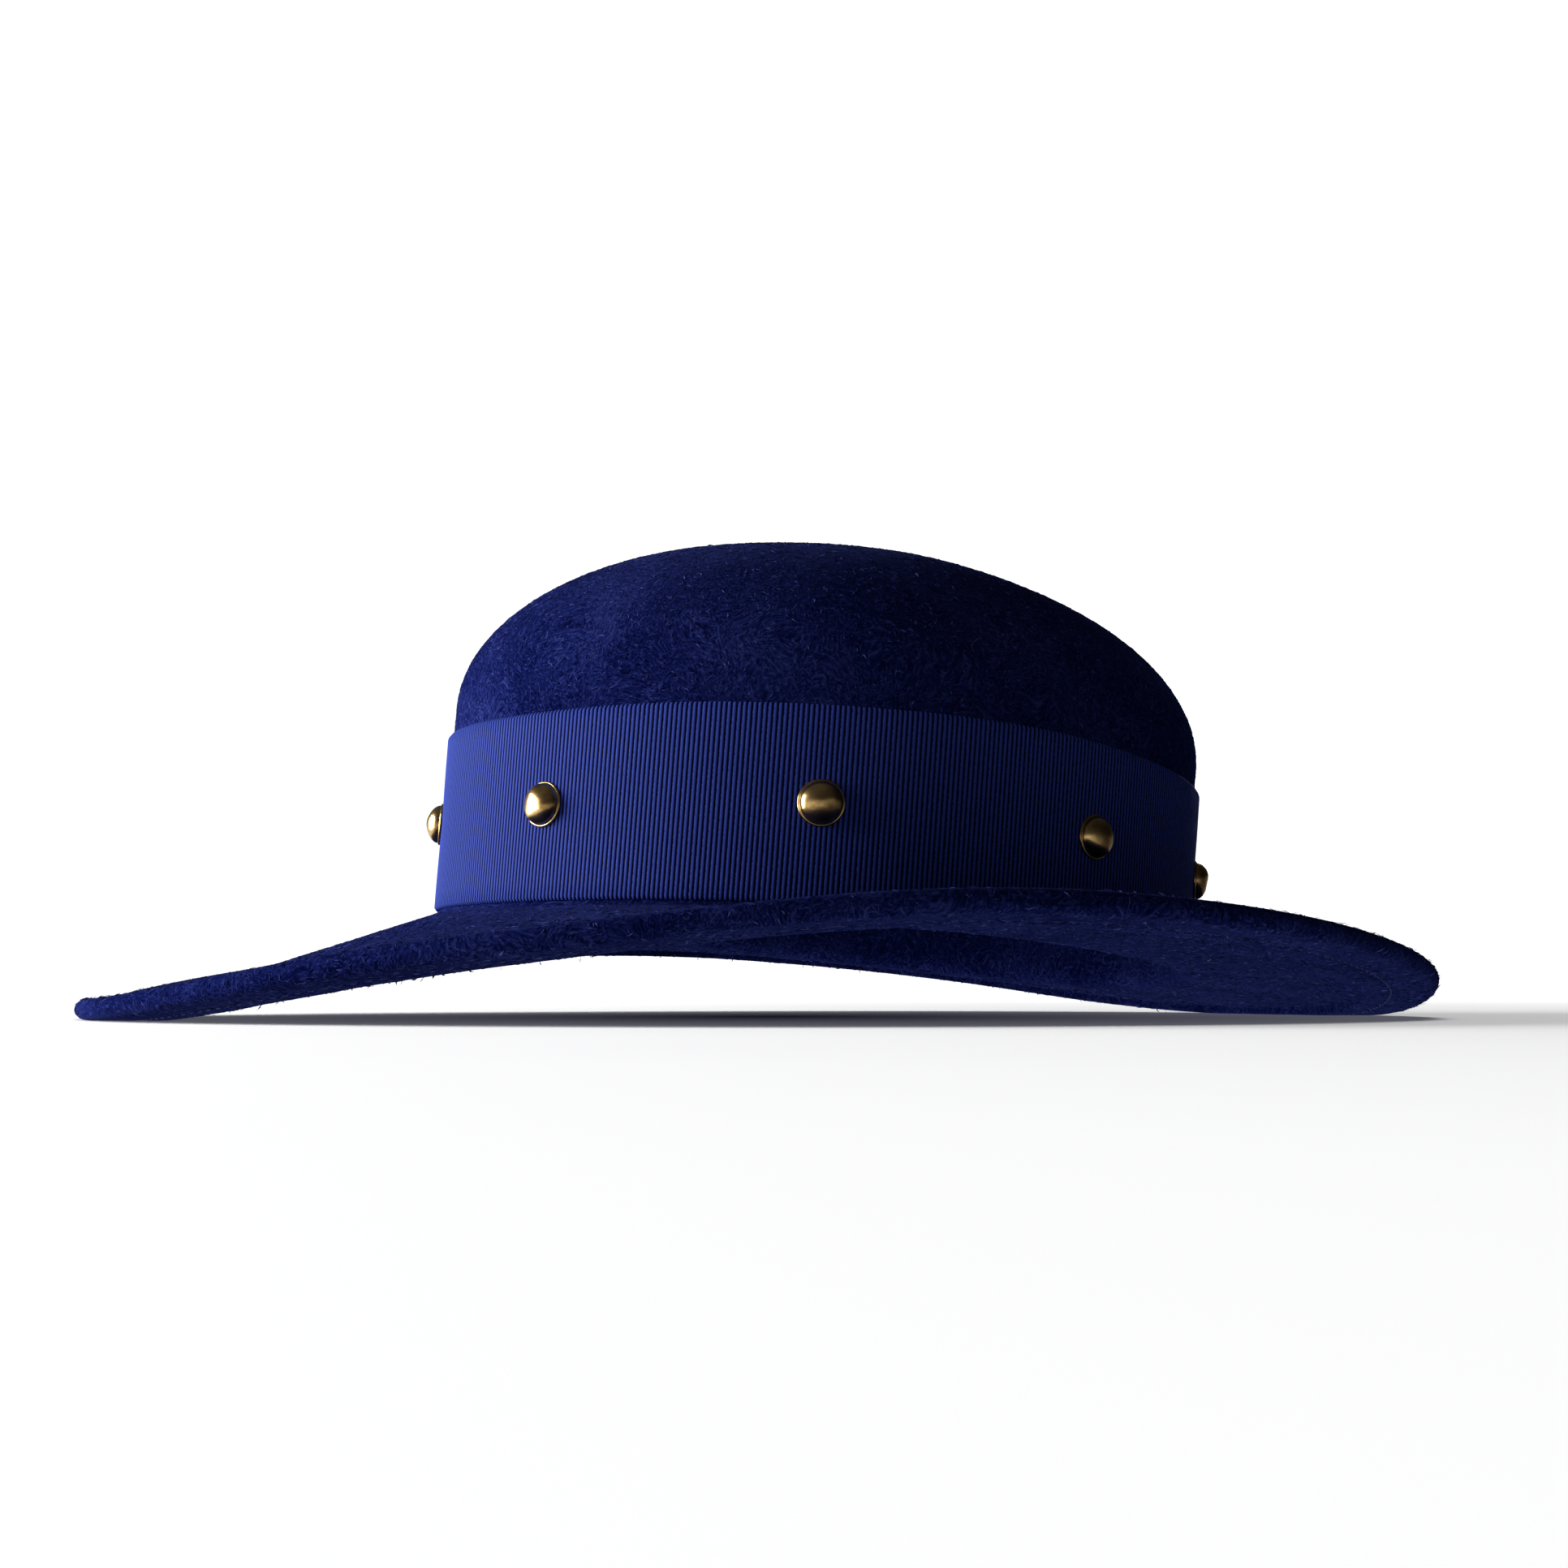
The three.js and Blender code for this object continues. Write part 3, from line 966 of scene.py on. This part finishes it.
# %% Scatter spots on a surface
def scatter(points, count):
    """Random spots on a ring grid and the normals there, each quad drawn as often as its area is large."""
    corner = points[:-1]
    across = np.roll(points, -1, axis=1)[:-1] - corner
    up = points[1:] - corner
    normal = np.cross(across, up)
    area = np.linalg.norm(normal, axis=-1)
    pick = np.unravel_index(dice.choice(area.size, count, p=(area / area.sum()).ravel()), area.shape)
    share = dice.random((2, count, 1))
    return corner[pick] + share[0] * across[pick] + share[1] * up[pick], unit(normal[pick])


# %% Shape the fibres
FIBRE_LENGTH = (0.0008, 0.0026)
FIBRE_RADIUS = (0.000025, 0.00006)
LYING_RISE = math.radians(11)
LOOSE_RISE = math.radians(25)
LOOSE_SHARE = 0.003
RISE_SHARE = (0.2, 1)
DROOP = 0.6
SIDE_BEND = 0.7
UPRIGHT_SHORT = 0.3
EDGE_HUG = 1.5
SLOPE_NUDGE = 1e-6
LINT_SHARE = 0.0004
LINT_SHORT = 0.35
LINT_FAT = 2.5
SHADE_POWER = 1.5
# A fibre's four triangles between its points, and their corners in the quarters of its cell of the map.
FIBRE_FACES = np.array([[0, 2, 1], [3, 1, 2], [0, 1, 3], [0, 3, 2]])
MAP_TRIANGLE = np.array([[0, 0], [0.4, 0], [0, 0.4]])
MAP_QUARTERS = np.array([[0, 0], [0.5, 0], [0, 0.5], [0.5, 0.5]])[:, None]


def fibre_points(spots, normals, lint, edge_radius):
    """Root, the two sides of the bend and the tip of each fibre: (fibres, 4, 3).

    A fibre leaves its spot at a low angle in a random direction, and bends down and aside halfway. Where
    the felt is upright, as on the round edge, it is shorter and hugs the edge: it sinks by the square of
    its way along the slope over twice the edge's radius. Lint is shorter and fatter. What would reach
    below the floor lies on it.
    """
    count = len(spots)
    loose = dice.normal(size=(2, count, 3))
    lying, aside = unit(np.cross(normals, loose))
    steepest = np.where(dice.random((count, 1)) < LOOSE_SHARE, LOOSE_RISE, LYING_RISE)
    rise = np.tan(dice.uniform(*RISE_SHARE, (count, 1)) * steepest)
    first = unit(lying + normals * rise)
    second = unit(lying + SIDE_BEND * aside - DROOP * rise * normals)
    upright = 1 - np.abs(normals[:, 2:])
    shorter = np.where(lint[:, None], LINT_SHORT, 1 - UPRIGHT_SHORT * upright)
    length = dice.uniform(*FIBRE_LENGTH, (count, 1)) * shorter
    radius = dice.uniform(*FIBRE_RADIUS, (count, 1)) * np.where(lint, LINT_FAT, 1)[:, None]
    root = spots - normals * radius
    middle = root + first * length / 2
    side = unit(np.cross(first, normals)) * radius
    points = np.stack([root, middle - side, middle + side, middle + second * length / 2], 1)
    slope_way = unit(UP - normals * normals[:, 2:] + SLOPE_NUDGE)
    way = ((points - root[:, None]) * slope_way[:, None]).sum(-1)
    sunk = np.clip(EDGE_HUG * upright, 0, 1) * way**2 / (2 * edge_radius)
    points -= normals[:, None] * sunk[..., None]
    points[..., 2] = np.maximum(points[..., 2], 0)
    return points


def fibre_mesh(name, spots, normals, edge_radius):
    """The fibres as one mesh, each with a shade of its own and a cell of the map to itself."""
    count = len(spots)
    lint = dice.random(count) < LINT_SHARE
    points = fibre_points(spots, normals, lint, edge_radius)
    each = points.shape[1]
    faces = FIBRE_FACES + each * np.arange(count)[:, None, None]
    mesh = bpy.data.meshes.new(name)
    mesh.from_pydata(points.reshape(-1, 3), [], faces.reshape(-1, 3))
    shade = np.where(lint, 1, BLUE_SHADE * dice.random(count) ** SHADE_POWER).astype(np.float32)
    mesh.attributes.new("shade", "FLOAT", "POINT").data.foreach_set("value", np.repeat(shade, each))
    cells, cells_along = map_cells(count)
    set_map(mesh, BAKE_MAP, (cells + MAP_TRIANGLE + CELL_MARGIN + MAP_QUARTERS) / cells_along)
    print(f"{name}: {count} fibres, {len(mesh.polygons)} faces")
    return mesh


# %% Make the fibres of crown and brim
CROWN_FIBRES = 46000
BRIM_TOP_FIBRES = 48000
BRIM_UNDER_FIBRES = 48000
RIBBON_CLEARANCE = 0.0006
FLOOR_CLEARANCE = 0.0012
SPARE_SPOTS = 2.2


def crown_spots(count):
    """Spots on the crown above the ribbon, and the normals there, in the hat's frame."""
    spots, normals = scatter(crown_outside, int(count * SPARE_SPOTS))
    angle = np.arctan2(spots[:, 0], -spots[:, 1])
    free = spots[:, 2] > ribbon_bottom(angle) + RIBBON_WIDTH + RIBBON_CLEARANCE
    turned = lean(normals) - lean(np.zeros(3))
    return lean(spots)[free][:count], turned[free][:count]


def add_fibres(name, spots, normals, edge_radius=FELT):
    """A piece of fibres, none of them rooted where the felt lies on the floor."""
    free = spots[:, 2] > FLOOR_CLEARANCE
    add_piece(fibre_mesh(name, spots[free], normals[free], edge_radius), wool)


slope = top[: sum(SPAN_ROWS[BEND_KNOT:]) + 1]
below = np.concatenate([under[sum(SPAN_ROWS[:BEND_KNOT]) :], raw_edge, hem, nose, top[:1]])
add_fibres("crown_fibres", *crown_spots(CROWN_FIBRES), edge_radius=DOME_HEIGHT)
add_fibres("brim_top_fibres", *scatter(slope, BRIM_TOP_FIBRES))
add_fibres("brim_under_fibres", *scatter(below, BRIM_UNDER_FIBRES))

# %% [markdown]
# ## Stray hairs
# A few long pale hairs have caught on the felt. A bent curve with a bevel could be each of them, but the
# mesh of many small bodies is at hand from the stitches. A hair is a thin wavy thread that lies on the
# surface near its spot: a line along a random direction, swung aside by two sine waves and lifted a little.

# %% The stray hairs' finish
HAIR_DARK = (0.030, 0.036, 0.110, 1)
HAIR_LIGHT = (0.120, 0.135, 0.270, 1)
HAIR_TONES = ((0.35, HAIR_DARK), (0.65, HAIR_LIGHT))
HAIR_PATCHES = 300


def hair_finish():
    """Pale blue grey that changes slowly along the hairs."""
    finish, tree, shader = new_finish("stray hair", roughness=0.5, specular=0.3)
    change = noise(tree, object_place(tree), HAIR_PATCHES, detail=1)
    colour_by(tree, shader.inputs["Base Color"], change, *HAIR_TONES)
    return finish


# %% Make the stray hairs
HAIR_LENGTH = (0.005, 0.012)
HAIR_RADIUS = 0.00006
HAIR_SWING = 0.0009
HAIR_LIFT = 0.00015
HAIR_TURNS = (3, 12)
HAIR_RINGS = 25
HAIR_SIDES = 5
HAIRS_PER_FACE = 9


def hair_rings(spots, normals):
    """Rings round each hair's line, (hairs, rings, sides, 3), thin to a point at both ends."""
    count = len(spots)
    along = unit(np.cross(normals, dice.normal(size=(count, 3))))
    across = np.cross(normals, along)
    share = np.linspace(-0.5, 0.5, HAIR_RINGS)
    turns = dice.uniform(*HAIR_TURNS, (2, count, 1))
    starts = dice.uniform(0, 2 * np.pi, (2, count, 1))
    swing = HAIR_SWING * np.sin(turns * share + starts).sum(0)[..., None] * across[:, None]
    reach = (share * dice.uniform(*HAIR_LENGTH, (count, 1)))[..., None] * along[:, None]
    line = (spots + HAIR_LIFT * normals)[:, None] + reach + swing
    line[..., 2] = np.maximum(line[..., 2], HAIR_LIFT)
    turn = angles_round(HAIR_SIDES)[:, None]
    spokes = across[:, None, None] * np.cos(turn) + normals[:, None, None] * np.sin(turn)
    thick = HAIR_RADIUS * np.sqrt(np.clip(1 - (2 * share) ** 2, 0, 1))
    return line[:, :, None] + thick[:, None, None] * spokes


caught = (crown_spots(HAIRS_PER_FACE), scatter(slope, HAIRS_PER_FACE), scatter(below, HAIRS_PER_FACE))
hairs = np.concatenate([hair_rings(spots, normals) for spots, normals in caught])
add_piece(many_rings("stray_hairs", hairs), hair_finish())
